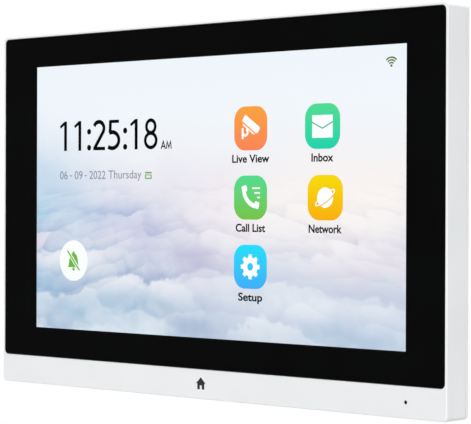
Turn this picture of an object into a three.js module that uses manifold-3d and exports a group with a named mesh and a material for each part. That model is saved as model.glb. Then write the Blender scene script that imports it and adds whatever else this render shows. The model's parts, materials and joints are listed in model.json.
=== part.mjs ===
// A ten-inch video intercom monitor, hung on its steel wall bracket.
// Millimetres, +Z up. The screen faces -Y and the wall is the plane y = 0.
// The origin is the centre of the monitor's outline, on the wall's plane.
import * as THREE from 'three';
import { mergeVertices } from 'three/addons/utils/BufferGeometryUtils.js';
import Module from 'manifold-3d';

const wasm = await Module();
wasm.setup();

// ---------------------------------------------------------------- dimensions

// Depth stations, from the screen side to the wall.
const FRONT_Y = -15.9; // front face of the frame
const SEAM_Y = -2.9; // joint between front frame and rear housing
const REAR_Y = -0.6; // rear face of the housing
const RECESS_Y = -1.5; // floor of the bracket's recess, seen from the wall
const FIT = 0.1; // gap between parts that sit in each other

const WALL = 2; // moulded walls
const BODY = { width: 266.7, height: 167.6, corner: 1.8, frontEdge: 0.4, rearEdge: 1.2 };
const GLASS = { width: 264.5, height: 153.3, corner: 2.2, thick: 1.1, front: -15.8, rim: 1.1 };
const ACTIVE = { width: 222.72, height: 125.28, belowGlassTop: 14.2 };
const LCD = { width: 235, height: 143 };
const LEDGE = { front: -14.3, back: -13, gap: 0.5 }; // the glass is taped to it

const GLASS_TOP = BODY.height / 2 - GLASS.rim;
const GLASS_Z = GLASS_TOP - GLASS.height / 2;
const SCREEN_Z = GLASS_TOP - ACTIVE.belowGlassTop - ACTIVE.height / 2;
const CHIN_TOP = GLASS_TOP - GLASS.height;
const CHIN_Z = (CHIN_TOP - BODY.height / 2) / 2;

const BRACKET = { x: 66, bottom: -54, top: 42, thick: 1.2, corner: 4 };
const CABLE_WINDOW = { x: [-24, 24], z: [-42, -13] };
const WALL_BOX_SCREWS = { spacing: 60, z: -27.5, slot: 9, radius: 2.1 };
const WALL_SCREWS = { x: 32, z: 32, radius: 2.3 };
const LIFT = 8; // upward travel that frees the hooks
const HOOK = { x: 56, heights: [-36, 30], width: 10, finger: 7, gap: 0.3 };

const BAY = { x: [-35, 46], z: [-44, -12], floor: -9.7, wall: 1.2, floorWall: 0.8 };
const BOARD = { x: [-50, 50], z: [-10.4, 62], y: [-6.6, -5] };
const BOARD_SCREWS = { x: 47, heights: [-7, 58.5], boss: 2.6, hole: 1.05 };
const CASE_SCREWS = { x: 124.3, heights: [-74.5, 75.8], boss: 3.2, hole: 1.2 };
const LCD_RESTS = { x: 95, heights: [-48, 48], radius: 3, tip: -10.6 };

const JACK = { x: [-30, -14.5], y: [-9.6, -1.8], z: [-12, 6] };
const HEADER = { x: [-3.5, 26.4], y: [-9.6, -3.1], z: [-11.9, -3.2], wall: 0.8 };
const TERMINALS = { count: 8, pitch: 3.5, pin: 1, pinHole: 1.6, wireHole: 2.2 };
const CARD = { x: [30.7, 41.7], y: [-4.6, -3.6], length: 15, bottom: -13.2 };
const RESET_X = -9;

const MICROPHONE_X = 112.8;
const SPEAKER = { x: [-95, -53], y: [-12.8, -4.6], z: [-81.3, -70] };
const SPEAKER_SLOTS = { count: 9, pitch: 3.4, width: 1.6, y: [-11.4, -5.8] };
const VENTS = { count: 21, pitch: 4, width: 1.8, rows: [[-79, -68], [50, 64]] };

const BOARD_FACE = BOARD.y[0] - 0.02; // parts on the board's front stand here

// ------------------------------------------------------------------- shapes

const around = (middle, size) => [middle - size / 2, middle + size / 2];
const grow = ([low, high], by) => [low - by, high + by];
const sides = [-1, 1];

function box(x, y, z) {
  const size = [x, y, z].map(([low, high]) => high - low);
  const middle = [x, y, z].map(([low, high]) => (low + high) / 2);
  return new THREE.BoxGeometry(...size).translate(...middle);
}

function post(x, z, radius, y, segments = 16) {
  const cylinder = new THREE.CylinderGeometry(radius, radius, y[1] - y[0], segments);
  return cylinder.translate(x, (y[0] + y[1]) / 2, z);
}

function roundedRect(x, z, radius) {
  const [left, right] = x;
  const [bottom, top] = z;
  const shape = new THREE.Shape();
  const quarter = Math.PI / 2;
  shape.moveTo(left + radius, bottom);
  shape.lineTo(right - radius, bottom);
  shape.absarc(right - radius, bottom + radius, radius, -quarter, 0);
  shape.lineTo(right, top - radius);
  shape.absarc(right - radius, top - radius, radius, 0, quarter);
  shape.lineTo(left + radius, top);
  shape.absarc(left + radius, top - radius, radius, quarter, 2 * quarter);
  shape.lineTo(left, bottom + radius);
  shape.absarc(left + radius, bottom + radius, radius, 2 * quarter, 3 * quarter);
  return shape;
}

// An outline in X and Z, given depth along Y. The edge is rounded both ends.
function slab(shape, y, edge = 0, edgeSteps = 3) {
  const settings = {
    depth: y[1] - y[0] - 2 * edge,
    curveSegments: 3,
    bevelEnabled: edge > 0,
    bevelThickness: edge,
    bevelSize: edge,
    bevelOffset: -edge,
    bevelSegments: edgeSteps,
  };
  const geometry = new THREE.ExtrudeGeometry(shape, settings);
  return geometry.rotateX(Math.PI / 2).translate(0, y[1] - edge, 0);
}

function plate(width, height, z, radius, y) {
  return slab(roundedRect(around(0, width), around(z, height), radius), y);
}

// A strip of even thickness that follows a line of [a, b] points.
function strip(points, thickness) {
  const line = points.map(([a, b]) => new THREE.Vector2(a, b));
  const offsets = line.map((point, index) => {
    const before = line[Math.max(index - 1, 0)];
    const after = line[Math.min(index + 1, line.length - 1)];
    const along = after.clone().sub(before).normalize();
    return new THREE.Vector2(-along.y, along.x).multiplyScalar(thickness / 2);
  });
  const left = line.map((point, index) => point.clone().add(offsets[index]));
  const right = line.map((point, index) => point.clone().sub(offsets[index]));
  return new THREE.Shape([...left, ...right.reverse()]);
}

function wire(points, radius, steps) {
  const path = new THREE.CatmullRomCurve3(points.map((point) => new THREE.Vector3(...point)));
  const section = new THREE.Shape();
  section.absarc(0, 0, radius, 0, 2 * Math.PI);
  return new THREE.ExtrudeGeometry(section, { steps, extrudePath: path, curveSegments: 4 });
}

// ----------------------------------------------------------- joins and cuts

function toSolid(geometry) {
  if (geometry.isBufferGeometry !== true) return geometry;
  const bare = geometry.clone();
  bare.deleteAttribute('normal');
  bare.deleteAttribute('uv');
  const merged = mergeVertices(bare);
  return new wasm.Manifold(new wasm.Mesh({
    numProp: 3,
    vertProperties: Float32Array.from(merged.attributes.position.array),
    triVerts: Uint32Array.from(merged.index.array),
  }));
}

function join(...pieces) {
  return pieces.map(toSolid).reduce((whole, piece) => whole.add(piece));
}

function cut(piece, ...tools) {
  return tools.map(toSolid).reduce((whole, tool) => whole.subtract(tool), toSolid(piece));
}

function toGeometry(shape) {
  if (shape.isBufferGeometry) return shape;
  const { vertProperties, triVerts } = shape.getMesh();
  const geometry = new THREE.BufferGeometry();
  geometry.setAttribute('position', new THREE.BufferAttribute(vertProperties, 3));
  geometry.setIndex(new THREE.BufferAttribute(triVerts, 1));
  const flat = geometry.toNonIndexed();
  flat.computeVertexNormals();
  return flat;
}

// ---------------------------------------------------------------- materials

const finish = (color, roughness, metalness = 0) =>
  new THREE.MeshStandardMaterial({ color, roughness, metalness });

const LOOKS = {
  whiteAbs: finish('#e9ebec', 0.45),
  glass: new THREE.MeshStandardMaterial({
    color: '#dfe8ea', roughness: 0.05, transparent: true, opacity: 0.35,
  }),
  blackInk: finish('#08090a', 0.3),
  tape: finish('#1c1c1e', 0.8),
  film: finish('#c9d3d6', 0.2),
  screen: finish('#cfe0ee', 0.3),
  whiteFilm: finish('#f2f3f1', 0.6),
  flex: finish('#b8742a', 0.5),
  steel: finish('#b9bcbf', 0.4, 0.9),
  gold: finish('#c9a24a', 0.35, 0.9),
  aluminium: finish('#c4c7ca', 0.45, 0.9),
  board: finish('#1d5a3a', 0.55),
  chip: finish('#17181a', 0.5),
  blackPlastic: finish('#1a1b1d', 0.6),
  greenPlastic: finish('#3a8a4d', 0.5),
  rubber: finish('#2a2a2c', 0.85),
  pad: finish('#8fa3b8', 0.8),
  paper: finish('#e4e4e0', 0.9),
  wireJacket: finish('#222225', 0.6),
};

function place(group, name, shape, look, position = [0, 0, 0]) {
  const mesh = new THREE.Mesh(toGeometry(shape), look);
  mesh.name = name;
  mesh.position.set(...position);
  group.add(mesh);
  return mesh;
}

// ------------------------------------------------------------- wall bracket

function bracketHook(side, height) {
  const across = around(side * HOOK.x, HOOK.width);
  const rear = RECESS_Y - 1.5 - HOOK.gap; // behind the finger runs the housing's floor
  const front = rear - BRACKET.thick;
  const tab = box(across, [front, -BRACKET.thick / 2], [height - BRACKET.thick, height]);
  const finger = box(across, [front, rear], [height - BRACKET.thick, height + HOOK.finger]);
  return join(tab, finger);
}

// The hole that each hook was bent out of.
function hookBlank(side, height) {
  const across = around(side * HOOK.x, HOOK.width + 1);
  return box(across, [-2, 1], [height + 0.01, height + HOOK.finger + 3.5]);
}

function slottedHole(x, z, length, radius) {
  const shape = roundedRect(around(x, length), around(z, 2 * radius), radius - 0.01);
  return slab(shape, [-2, 1]);
}

function wallBracket() {
  const outline = roundedRect(around(0, 2 * BRACKET.x), [BRACKET.bottom, BRACKET.top], BRACKET.corner);
  const sheet = slab(outline, [-BRACKET.thick, 0]);
  const { spacing, z, slot, radius } = WALL_BOX_SCREWS;
  const holes = [slab(roundedRect(CABLE_WINDOW.x, CABLE_WINDOW.z, 2), [-2, 1])];
  const hooks = [];
  for (const side of sides) {
    holes.push(slottedHole(side * (spacing / 2 + 2), z, slot, radius));
    holes.push(post(side * WALL_SCREWS.x, WALL_SCREWS.z, WALL_SCREWS.radius, [-2, 1]));
    holes.push(post(side * WALL_SCREWS.x, BRACKET.bottom + 6, WALL_SCREWS.radius, [-2, 1]));
    for (const height of HOOK.heights) {
      holes.push(hookBlank(side, height));
      hooks.push(bracketHook(side, height));
    }
  }
  return join(cut(sheet, ...holes), ...hooks);
}

// -------------------------------------------------------------------- case

const bodyOutline = () =>
  roundedRect(around(0, BODY.width), around(0, BODY.height), BODY.corner);

const innerOutline = (gap) => {
  const width = BODY.width - 2 * WALL - 2 * gap;
  const height = BODY.height - 2 * WALL - 2 * gap;
  return roundedRect(around(0, width), around(0, height), BODY.corner / 2);
};

function speakerSlots() {
  const { count, pitch, width, y } = SPEAKER_SLOTS;
  const middle = (SPEAKER.x[0] + SPEAKER.x[1]) / 2;
  return Array.from({ length: count }, (_, index) => {
    const x = middle + (index - (count - 1) / 2) * pitch;
    return box(around(x, width), y, [-BODY.height / 2 - 1, -BODY.height / 2 + WALL + 1]);
  });
}

// The touch sensor's flex turns back through this notch beside the screen.
const flexNotch = () => box([-LCD.width / 2 - 3, -LCD.width / 2], [-14.62, LEDGE.back + 1], [30, 42]);

function frontFrame() {
  const past = SEAM_Y + 2;
  const blank = cut(
    slab(bodyOutline(), [FRONT_Y, past], BODY.frontEdge, 2),
    box(around(0, 300), [SEAM_Y, past + 1], around(0, 200)),
  );
  const pocket = plate(
    GLASS.width + 2 * FIT, GLASS.height + 2 * FIT, GLASS_Z, GLASS.corner, [FRONT_Y - 1, LEDGE.front],
  );
  const opening = plate(
    LCD.width + 2 * LEDGE.gap, LCD.height + 2 * LEDGE.gap, SCREEN_Z, 0.5, [FRONT_Y - 1, LEDGE.back + 1],
  );
  const cavity = slab(innerOutline(0), [LEDGE.back, SEAM_Y + 1]);
  const chinHollow = box(
    around(0, BODY.width - 2 * WALL),
    [FRONT_Y + WALL, LEDGE.back + 1],
    [-BODY.height / 2 + WALL, CHIN_TOP - WALL],
  );
  const shell = cut(blank, pocket, opening, cavity, chinHollow, flexNotch(), ...speakerSlots());

  const cup = post(MICROPHONE_X, CHIN_Z, 5.3, [FRONT_Y + WALL - 0.5, -11.5], 24);
  const fixings = [cup];
  const bores = [
    post(MICROPHONE_X, CHIN_Z, 4.1, [FRONT_Y + WALL, 0], 24),
    post(MICROPHONE_X, CHIN_Z, 0.8, [FRONT_Y - 1, 0]),
  ];
  for (const side of sides) {
    for (const height of CASE_SCREWS.heights) {
      const x = side * CASE_SCREWS.x;
      fixings.push(post(x, height, CASE_SCREWS.boss, [LEDGE.back - 0.5, SEAM_Y - 0.3]));
      bores.push(post(x, height, CASE_SCREWS.hole, [-12, 0]));
    }
  }
  return cut(join(shell, ...fixings), ...bores);
}

// Everything the bay's top wall lets through: jack, terminals, card and button.
function bayPorts() {
  const through = [BAY.z[1] - 1, BAY.z[1] + BAY.wall + 1];
  const opened = (x, y) => box(x, y, through);
  return [
    box(grow(JACK.x, 0.3), [BAY.floor, REAR_Y], [BAY.z[1] - 0.5, JACK.z[1] + 0.3]),
    opened(grow(HEADER.x, 0.3), [BAY.floor, HEADER.y[1] + 0.1]),
    opened(grow(CARD.x, 0.4), grow(CARD.y, 0.3)),
    opened(around(RESET_X, 3), [-4.9, -3.3]),
  ];
}

function ventSlots() {
  const { count, pitch, width, rows } = VENTS;
  return rows.flatMap((row) => Array.from({ length: count }, (_, index) => {
    const x = (index - (count - 1) / 2) * pitch;
    return box(around(x, width), [SEAM_Y - 1, 0], row);
  }));
}

function rearHousing() {
  const inside = REAR_Y - WALL;
  const blank = cut(
    slab(bodyOutline(), [SEAM_Y - 4, REAR_Y], BODY.rearEdge),
    box(around(0, 300), [SEAM_Y - 5, SEAM_Y], around(0, 200)),
    slab(innerOutline(FIT + 1.5), [SEAM_Y - 1, inside]),
  );
  const lip = cut(
    slab(innerOutline(FIT), [SEAM_Y - 1.5, SEAM_Y + 0.3]),
    slab(innerOutline(FIT + 1.5), [SEAM_Y - 3, 0]),
  );
  const recess = { x: grow([-BRACKET.x, BRACKET.x], 2), z: [BRACKET.bottom - LIFT - 1, BRACKET.top + 1] };
  const recessFloor = box(grow(recess.x, 1.5), [RECESS_Y - 1.5, inside + 0.5], grow(recess.z, 1.5));
  const bayBlock = box(
    grow(BAY.x, BAY.wall), [BAY.floor - BAY.floorWall, inside + 0.5], grow(BAY.z, BAY.wall),
  );
  const added = [lip, recessFloor, bayBlock];
  const removed = [
    box(recess.x, [RECESS_Y, 1], recess.z),
    box(BAY.x, [BAY.floor, 1], BAY.z),
    ...bayPorts(),
    ...ventSlots(),
  ];
  for (const side of sides) {
    for (const height of BOARD_SCREWS.heights) {
      const x = side * BOARD_SCREWS.x;
      added.push(post(x, height, BOARD_SCREWS.boss, [BOARD.y[1] + 0.05, inside + 0.5]));
      removed.push(post(x, height, BOARD_SCREWS.hole, [-8, -2.3]));
    }
    for (const height of CASE_SCREWS.heights) {
      const x = side * CASE_SCREWS.x;
      added.push(post(x, height, 4, [SEAM_Y - 0.2, inside + 0.5]));
      removed.push(post(x, height, 1.7, [-8, 1]), post(x, height, 3, [-2.2, 1], 24));
    }
    for (const height of LCD_RESTS.heights) {
      added.push(post(side * LCD_RESTS.x, height, LCD_RESTS.radius, [LCD_RESTS.tip, inside + 0.5]));
    }
    for (const height of HOOK.heights) {
      const across = around(side * HOOK.x, HOOK.width + 1);
      const low = height - BRACKET.thick - LIFT - HOOK.gap;
      removed.push(box(across, [RECESS_Y - 2, RECESS_Y + 1], [low, height + HOOK.gap]));
    }
  }
  return cut(join(blank, ...added), ...removed);
}

function caseScrew() {
  const shank = post(0, 0, 1.15, [-10, -1.5]);
  const head = post(0, 0, 2.6, [-2.1, -0.9], 20);
  const cross = sides.map((turn) =>
    box([-1.5, 1.5], [-1.5, 0], [-0.3, 0.3]).rotateY(Math.PI / 4 * turn));
  return cut(join(shank, head), ...cross);
}

function boardScrew() {
  const shank = post(0, 0, 0.95, [-7, -2.5], 12);
  const head = post(0, 0, 2.2, [-8, BOARD.y[0] - 0.05], 16);
  const cross = sides.map((turn) =>
    box([-1.2, 1.2], [-9, -7.4], [-0.25, 0.25]).rotateY(Math.PI / 4 * turn));
  return cut(join(shank, head), ...cross);
}

function buildCase(group) {
  place(group, 'front_frame', frontFrame(), LOOKS.whiteAbs);
  place(group, 'rear_housing', rearHousing(), LOOKS.whiteAbs);
  const label = box([-118, -78], [REAR_Y + 0.01, REAR_Y + 0.11], [-44, -20]);
  place(group, 'rear_label', label, LOOKS.paper);
  let count = 0;
  for (const side of sides) {
    for (const height of CASE_SCREWS.heights) {
      count += 1;
      const at = [side * CASE_SCREWS.x, 0, height];
      place(group, `case_screw_${count}`, caseScrew(), LOOKS.steel, at);
    }
  }
}

// ----------------------------------------------------------- screen stack

// A flat ring: outer and inner sizes are [width, height].
function ring(outer, inner, z, y, radius) {
  return cut(
    plate(outer[0], outer[1], z, radius, y),
    plate(inner[0], inner[1], z, Math.min(radius, 0.5), grow(y, 1)),
  );
}

function lcdTopChassis() {
  const face = [-14.27, -14.02];
  const sheet = 0.25;
  const outer = plate(LCD.width, LCD.height, SCREEN_Z, 0.6, [face[0], -11.2]);
  const hollow = plate(LCD.width - 2 * sheet, LCD.height - 2 * sheet, SCREEN_Z, 0.4, [face[1], 0]);
  const window = plate(ACTIVE.width + 2, ACTIVE.height + 2, SCREEN_Z, 0.4, grow(face, 1));
  return cut(outer, hollow, window);
}

function buildDisplay(group) {
  const ledge = [LCD.width + 1.6, LCD.height + 1.6];
  const glassBack = GLASS.front + GLASS.thick;
  const glass = plate(GLASS.width, GLASS.height, GLASS_Z, GLASS.corner, [GLASS.front, glassBack]);
  place(group, 'cover_glass', glass, LOOKS.glass);

  const mask = cut(
    plate(GLASS.width - 0.4, GLASS.height - 0.4, GLASS_Z, 2, [glassBack + 0.03, glassBack + 0.08]),
    plate(ACTIVE.width + 1.2, ACTIVE.height + 1.2, SCREEN_Z, 0.4, [-16, -14]),
  );
  place(group, 'glass_mask', mask, LOOKS.blackInk);

  const tape = cut(
    plate(GLASS.width - 1.2, GLASS.height - 1.2, GLASS_Z, 2, [-14.6, LEDGE.front - 0.02]),
    plate(ledge[0], ledge[1], SCREEN_Z, 0.5, [-16, -14]),
    flexNotch(),
  );
  place(group, 'glass_adhesive', tape, LOOKS.tape);

  const layer = (name, width, height, y, look, z = SCREEN_Z) =>
    place(group, name, plate(width, height, z, 0.4, y), look);
  layer('touch_sensor', LCD.width, LCD.height, [-14.57, -14.32], LOOKS.film);
  place(group, 'lcd_top_chassis', lcdTopChassis(), LOOKS.steel);
  layer('lcd_cell', 229, 133, [-13.97, -12.67], LOOKS.screen);
  layer('diffuser_stack', 228, 132, [-12.63, -12.33], LOOKS.whiteFilm);
  layer('light_guide', 228, 130.6, [-12.29, -11.29], LOOKS.film, SCREEN_Z + 0.9);
  layer('reflector_sheet', 228, 132, [-11.25, -11.13], LOOKS.whiteFilm);
  layer('backlight_tray', 234.3, 142.3, [-11.06, -10.76], LOOKS.steel);
  place(group, 'led_bar', box([-105, 105], [-12.28, -11.3], [-60.7, -59.7]), LOOKS.paper);
  const frame = ring([234.3, 142.3], [229.4, 133.4], SCREEN_Z, [-13.97, -11.1], 0.4);
  place(group, 'lcd_plastic_frame', frame, LOOKS.whiteAbs);
  place(group, 'lcd_driver_board', box([-60, 60], [-10.7, -9.9], [65, 76]), LOOKS.board);

  const lcdRoute = [[-9.78, 71], [-9.78, 66], [-9.2, 63.4], [-7.4, 60], [-6.8, 57.5], [-6.75, 53]];
  const across = new THREE.Matrix4().makeBasis(
    new THREE.Vector3(0, 1, 0), new THREE.Vector3(0, 0, 1), new THREE.Vector3(1, 0, 0),
  );
  const lcdFlex = new THREE.ExtrudeGeometry(strip(lcdRoute, 0.16), { depth: 40, bevelEnabled: false });
  place(group, 'lcd_flex', lcdFlex.applyMatrix4(across).translate(-20, 0, 0), LOOKS.flex);

  const touchRoute = [
    [-117.6, -14.44], [-118.4, -14.44], [-118.9, -14.1], [-119, -13.6], [-119, -10.6],
    [-118.8, -10.2], [-118.2, -10], [-62, -10], [-58, -9.6], [-52, -7.4], [-49.5, -6.8], [-45.5, -6.75],
  ];
  const touchFlex = new THREE.ExtrudeGeometry(strip(touchRoute, 0.16), { depth: 9, bevelEnabled: false });
  place(group, 'touch_flex', touchFlex.translate(0, 0, 31.5), LOOKS.flex);
}

// -------------------------------------------------------------- electronics

function mainBoard() {
  const sheet = box(BOARD.x, BOARD.y, BOARD.z);
  const deep = grow(BOARD.y, 1);
  const cuts = [
    box(grow(JACK.x, 0.4), deep, [BOARD.z[0] - 1, JACK.z[1] + 0.4]),
    box(grow(HEADER.x, 0.4), deep, [BOARD.z[0] - 1, HEADER.z[1] + 0.4]),
  ];
  for (const side of sides) {
    for (const height of BOARD_SCREWS.heights) {
      cuts.push(post(side * BOARD_SCREWS.x, height, 1.3, deep, 12));
    }
  }
  return cut(sheet, ...cuts);
}

function rj45Jack() {
  const middle = (JACK.x[0] + JACK.x[1]) / 2;
  const mouth = JACK.z[0] - 1;
  return cut(
    box(JACK.x, JACK.y, JACK.z),
    box(around(middle, 11.9), [-9.1, -2.3], [mouth, 1.5]),
    box(around(middle, 6.2), [-9.4, -9], [mouth, -3]),
  );
}

const pinX = (index) =>
  (HEADER.x[0] + HEADER.x[1]) / 2 + (index - (TERMINALS.count - 1) / 2) * TERMINALS.pitch;
const terminals = Array.from({ length: TERMINALS.count }, (_, index) => pinX(index));
const PIN_Y = -6.35;

function terminalHeader() {
  const { wall } = HEADER;
  const cavity = box(
    grow(HEADER.x, -wall), grow(HEADER.y, -wall), [HEADER.z[0] - 1, HEADER.z[1] - 1.2],
  );
  const pins = terminals.map((x) =>
    box(around(x, TERMINALS.pin), around(PIN_Y, TERMINALS.pin), [-10.9, HEADER.z[1] - 1]));
  return join(cut(box(HEADER.x, HEADER.y, HEADER.z), cavity), ...pins);
}

function terminalPlug() {
  const gap = HEADER.wall + 0.2;
  const tongue = box(grow(HEADER.x, -gap), grow(HEADER.y, -gap), [-13, -4.8]);
  const body = box(grow(HEADER.x, -0.3), [-9.5, -2.3], [-25, HEADER.z[0] - 0.3]);
  const holes = terminals.flatMap((x) => [
    box(around(x, TERMINALS.pinHole), around(PIN_Y, TERMINALS.pinHole), [-11.8, 0]),
    box(around(x, TERMINALS.wireHole), around(PIN_Y, TERMINALS.wireHole), [-26, -17]),
    post(x, -19.5, 1.25, [-3.2, -1], 12),
  ]);
  return cut(join(tongue, body), ...holes);
}

function cardSocket() {
  const cavity = box(grow(CARD.x, 0.3), grow(CARD.y, 0.2), [-12, CARD.bottom + CARD.length + 0.4]);
  return cut(box(grow(CARD.x, 1.4), [BOARD.y[1] + 0.03, -3.15], [-10.4, 4]), cavity);
}

function memoryCard() {
  const [left, right] = CARD.x;
  const [bottom, top] = [CARD.bottom, CARD.bottom + CARD.length];
  const outline = new THREE.Shape([
    new THREE.Vector2(left, bottom), new THREE.Vector2(right, bottom),
    new THREE.Vector2(right, top - 6), new THREE.Vector2(right - 1.4, top - 7.4 + 2.6),
    new THREE.Vector2(right - 1.4, top), new THREE.Vector2(left, top),
  ]);
  return slab(outline, CARD.y);
}

function resetSwitch() {
  const body = box(around(RESET_X, 4.8), [BOARD.y[1] + 0.03, -3.15], [-10.4, -7]);
  return cut(body, box(around(RESET_X, 2.7), [-4.8, -3.35], [-11, -8.7]));
}

function heatSpreader() {
  const sheet = box([-34, 28], [-10.4, -9.4], [18.5, 46]);
  const legs = [[-31, 43], [25, 21.5]].map(([x, z]) => post(x, z, 1.2, [-10, BOARD_FACE - 0.03], 12));
  return join(sheet, ...legs);
}

function buildElectronics(group) {
  place(group, 'main_board', mainBoard(), LOOKS.board);
  let count = 0;
  for (const side of sides) {
    for (const height of BOARD_SCREWS.heights) {
      count += 1;
      const at = [side * BOARD_SCREWS.x, 0, height];
      place(group, `board_screw_${count}`, boardScrew(), LOOKS.steel, at);
    }
  }

  // Parts that stand on the board's front: middle x, middle z, width, height, thickness.
  const chip = (name, x, z, width, height, thick, look) => {
    const block = box(around(0, width), [-thick, 0], around(0, height));
    place(group, name, block, look, [x, BOARD_FACE, z]);
  };
  chip('soc_chip', -4, 32, 17, 17, 1.6, LOOKS.chip);
  chip('memory_chip_1', 16, 38, 13.5, 9, 1.1, LOOKS.chip);
  chip('memory_chip_2', 16, 27, 13.5, 9, 1.1, LOOKS.chip);
  chip('storage_chip', -23, 32, 11.5, 13, 1, LOOKS.chip);
  chip('wifi_module', -38, 50, 12, 12, 2.2, LOOKS.steel);
  chip('lan_transformer', -22, 12.5, 15.2, 9.4, 2.6, LOOKS.chip);
  chip('power_inductor', 36, 10, 7.3, 7.3, 3, LOOKS.chip);
  chip('speaker_connector', -46.7, 24, 5.4, 8, 3, LOOKS.whiteFilm);
  chip('microphone_connector', 46.7, 24, 5.4, 8, 3, LOOKS.whiteFilm);
  const pad = box(around(-4, 15), [-9.37, -8.25], around(32, 15));
  place(group, 'thermal_pad', pad, LOOKS.pad);
  place(group, 'heat_spreader', heatSpreader(), LOOKS.aluminium);
  const can = post(0, 0, 3.15, [-3.2, 0], 20);
  place(group, 'power_capacitor', can, LOOKS.aluminium, [36, BOARD_FACE, 22]);
  const cell = post(0, 0, 6.25, [-2, 0], 28);
  place(group, 'clock_cell', cell, LOOKS.steel, [36, BOARD_FACE, 46]);

  place(group, 'rj45_jack', rj45Jack(), LOOKS.steel);
  place(group, 'terminal_header', terminalHeader(), LOOKS.greenPlastic);
  place(group, 'terminal_plug', terminalPlug(), LOOKS.greenPlastic);
  place(group, 'card_socket', cardSocket(), LOOKS.steel);
  place(group, 'memory_card', memoryCard(), LOOKS.blackPlastic);
  place(group, 'reset_switch', resetSwitch(), LOOKS.blackPlastic);
  const button = box(around(RESET_X, 2.3), [-4.6, -3.55], [-12.6, -9.2]);
  place(group, 'reset_button', button, LOOKS.whiteAbs);

  const antenna = box([-112, -72], [REAR_Y - WALL - 0.2, REAR_Y - WALL - 0.03], [60, 68]);
  place(group, 'wifi_antenna', antenna, LOOKS.gold);
  const coax = wire([
    [-44.5, -7.9, 50], [-50, -7.7, 51], [-58, -6.6, 55], [-68, -4.6, 61], [-76, -3.7, 64],
  ], 0.55, 14);
  place(group, 'antenna_cable', coax, LOOKS.wireJacket);
}

// -------------------------------------------------------------------- audio

function speakerFrame() {
  const { x, y, z } = SPEAKER;
  return cut(
    box(x, y, z),
    box(grow(x, -1.2), grow(y, -1.2), [z[0] + 1.4, z[1] - 1.2]),
    box(grow(x, -4), grow(y, -1.2), [z[0] - 1, z[0] + 2]),
  );
}

function speakerCone() {
  const [x, y] = [grow(SPEAKER.x, -4.6), grow(SPEAKER.y, -1.6)];
  const dome = box(grow(x, -5), grow(y, -1.2), [-80.3, -79.3]);
  return join(box(x, y, [-80.9, -80.1]), dome);
}

function buildAudio(group) {
  const floor = -BODY.height / 2 + WALL;
  place(group, 'speaker_frame', speakerFrame(), LOOKS.blackPlastic);
  place(group, 'speaker_cone', speakerCone(), LOOKS.rubber);
  const middle = (SPEAKER.x[0] + SPEAKER.x[1]) / 2;
  const magnet = box(around(middle, 20), grow(SPEAKER.y, -2), [-76.5, SPEAKER.z[1] - 1.25]);
  place(group, 'speaker_magnet', magnet, LOOKS.steel);
  const gasket = cut(
    box(grow(SPEAKER.x, -0.5), grow(SPEAKER.y, -0.3), [floor + 0.05, SPEAKER.z[0] - 0.05]),
    box(grow(SPEAKER.x, -3.8), grow(SPEAKER.y, -1.1), [floor - 1, SPEAKER.z[0] + 1]),
  );
  place(group, 'speaker_gasket', gasket, LOOKS.tape);
  const speakerLead = wire([
    [-62, -8.1, SPEAKER.z[1] + 0.3], [-62, -8.1, -60], [-63, -8.1, -30], [-63, -8.1, 0],
    [-61, -8.1, 18], [-56, -8.1, 23.5], [-49.8, -8.1, 24],
  ], 0.7, 26);
  place(group, 'speaker_cable', speakerLead, LOOKS.wireJacket);

  const boot = cut(
    post(0, 0, 4, [-13.85, -10.4], 24),
    post(0, 0, 3.1, [-13, 0], 24),
    post(0, 0, 0.8, [-15, 0]),
  );
  place(group, 'microphone_boot', boot, LOOKS.rubber, [MICROPHONE_X, 0, CHIN_Z]);
  const capsule = post(0, 0, 3, [-12.95, -10.75], 24);
  place(group, 'microphone', capsule, LOOKS.aluminium, [MICROPHONE_X, 0, CHIN_Z]);
  const microphoneLead = wire([
    [MICROPHONE_X, -10.4, CHIN_Z], [MICROPHONE_X - 1, -8.9, CHIN_Z + 0.2], [104, -8.2, -76], [80, -8.1, -75],
    [68, -8.1, -70], [64, -8.1, -58], [63, -8.1, -30], [63, -8.1, 0], [61, -8.1, 18],
    [56, -8.1, 23.5], [49.8, -8.1, 24],
  ], 0.6, 38);
  place(group, 'microphone_cable', microphoneLead, LOOKS.wireJacket);
}

// ----------------------------------------------------------------- assembly

const monitor = new THREE.Group();
buildCase(monitor);
buildDisplay(monitor);
buildElectronics(monitor);
buildAudio(monitor);

const intercom = new THREE.Group();
place(intercom, 'wall_bracket', wallBracket(), LOOKS.steel);
intercom.add(monitor);

export default intercom;
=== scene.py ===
"""Looks of the ten-inch video intercom monitor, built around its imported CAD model.

Sizes are in millimetres, in the CAD model's frame: +Z up, the screen faces -Y, the wall is y = 0.
"""
import json
from collections import namedtuple
from contextlib import contextmanager
from math import cos, e, pi, radians, sin
from types import SimpleNamespace as Sizes

import bmesh
import bpy
from mathutils import Matrix, Vector
from mathutils.geometry import tessellate_polygon


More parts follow.
